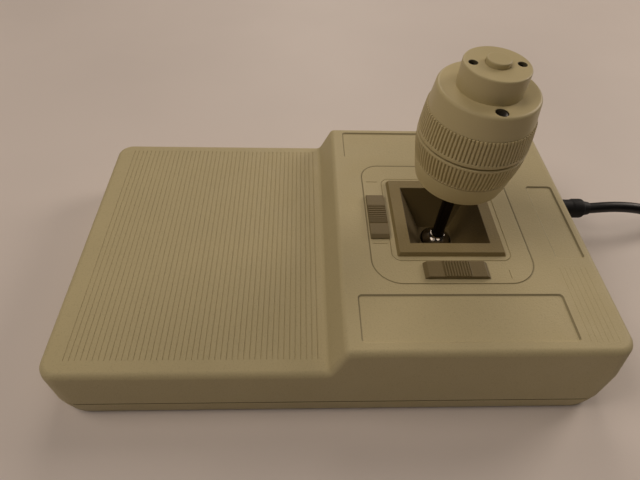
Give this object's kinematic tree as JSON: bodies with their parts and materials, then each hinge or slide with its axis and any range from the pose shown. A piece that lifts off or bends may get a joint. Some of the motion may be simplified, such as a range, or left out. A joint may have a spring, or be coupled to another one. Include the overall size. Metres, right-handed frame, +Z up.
{
  "type": "desk joystick controller",
  "caption": "Desk hand controller with a grooved palm rest, a tilting stick with two twist rings and a push button, sliding trims and a coiled cable with a plug.",
  "frame": {"origin": "middle of the footprint, on the surface the feet stand on", "axes": "+X to the right towards the cable, +Y away from the user, +Z up"},
  "size_m": [0.4947, 0.1743, 0.1467],
  "materials": {
    "beige_plastic": "fine matt grain",
    "knob_plastic": "satin",
    "bezel_plastic": "fine matt grain",
    "taupe_plastic": "fine matt grain",
    "black_plastic": "satin",
    "black_rubber": "matt",
    "white_nylon": "satin",
    "circuit_board": "solder mask",
    "steel": "bright",
    "dark_steel": "blackened"
  },
  "bodies": {
    "housing": {"upper_cover": "beige_plastic", "base_tray": "beige_plastic", "faceplate": "beige_plastic", "bezel_well": "bezel_plastic", "gimbal_frame": "black_plastic", "fore_aft_sensor": "black_plastic", "side_sensor": "black_plastic", "trim_sensor_left": "black_plastic", "trim_sensor_front": "black_plastic", "processor": "black_plastic", "plug_hood": "black_plastic", "foot_front_left": "black_rubber", "foot_front_right": "black_rubber", "foot_back_right": "black_rubber", "foot_back_left": "black_rubber", "strain_relief": "black_rubber", "inner_cable": "black_rubber", "cord_tube": "black_rubber", "cord_coil": "black_rubber", "cord_tail": "black_rubber", "sensor_header": "white_nylon", "cable_header": "white_nylon", "cable_clamp": "white_nylon", "main_board": "circuit_board", "housing_screw_front_left": "steel", "housing_screw_front_right": "steel", "housing_screw_back_right": "steel", "housing_screw_back_left": "steel", "frame_screw_front_left": "steel", "frame_screw_front_right": "steel", "frame_screw_back_right": "steel", "frame_screw_back_left": "steel", "board_screw_left": "steel", "board_screw_right": "steel", "fore_aft_spring": "steel", "side_spring": "steel", "plug_shell": "steel"},
    "lower_ring": {"lower_ring": "knob_plastic"},
    "upper_ring": {"upper_ring": "knob_plastic"},
    "push_button": {"push_button": "knob_plastic"},
    "fore_aft_yoke": {"fore_aft_yoke": "white_nylon"},
    "side_yoke": {"side_yoke": "white_nylon"},
    "trim_slider_left": {"trim_slider_left": "taupe_plastic"},
    "trim_slider_front": {"trim_slider_front": "taupe_plastic"},
    "stick": {"stick_shaft": "dark_steel", "ball": "steel", "lower_collar": "knob_plastic", "knob_sleeve": "black_plastic", "knob_body": "knob_plastic", "knob_cap": "knob_plastic", "cap_screw_left": "dark_steel", "cap_screw_right": "dark_steel", "shoulder_window": "black_plastic", "switch_board": "circuit_board", "button_switch": "black_plastic", "button_spring": "steel", "lower_encoder": "circuit_board", "upper_encoder": "circuit_board"}
  },
  "joints": [
    {"name": "stick_fore_aft", "type": "hinge", "parent": "housing", "child": "fore_aft_yoke", "pos_m": [0.0612, 0.0018, 0.0311], "axis": [1, 0, 0], "range_deg": [-20.7, 19.3], "stiffness_Nm_per_rad": 0.9},
    {"name": "stick_side", "type": "hinge", "parent": "fore_aft_yoke", "child": "stick", "pos_m": [0.0612, 0.0018, 0.0311], "axis": [0, 0.9999, 0.0124], "range_deg": [-21.5, 18.5], "stiffness_Nm_per_rad": 0.9},
    {"name": "side_yoke_follow", "type": "hinge", "parent": "housing", "child": "side_yoke", "pos_m": [0.0612, 0.0018, 0.0311], "axis": [0, 1, 0], "range_deg": [-21.5, 18.5]},
    {"name": "lower_ring_twist", "type": "hinge", "parent": "stick", "child": "lower_ring", "pos_m": [0.063, 0.00094, 0.10077], "axis": [0.0258, -0.0124, 0.9996], "continuous": true},
    {"name": "upper_ring_twist", "type": "hinge", "parent": "stick", "child": "upper_ring", "pos_m": [0.06337, 0.00076, 0.11507], "axis": [0.0258, -0.0124, 0.9996], "continuous": true},
    {"name": "button_press", "type": "slide", "parent": "stick", "child": "push_button", "axis": [-0.0258, 0.0124, -0.9996], "range_m": [0, 0.0015], "stiffness_N_per_m": 600, "springref_m": -0.001, "deforming": ["button_spring"]},
    {"name": "trim_left_slide", "type": "slide", "parent": "housing", "child": "trim_slider_left", "axis": [0, 1, 0], "range_m": [-0.005, 0.005]},
    {"name": "trim_front_slide", "type": "slide", "parent": "housing", "child": "trim_slider_front", "axis": [1, 0, 0], "range_m": [-0.005, 0.005]}
  ],
  "couplings": [
    {"joint": "side_yoke_follow", "follows": "stick_side", "ratio": 1}
  ]
}
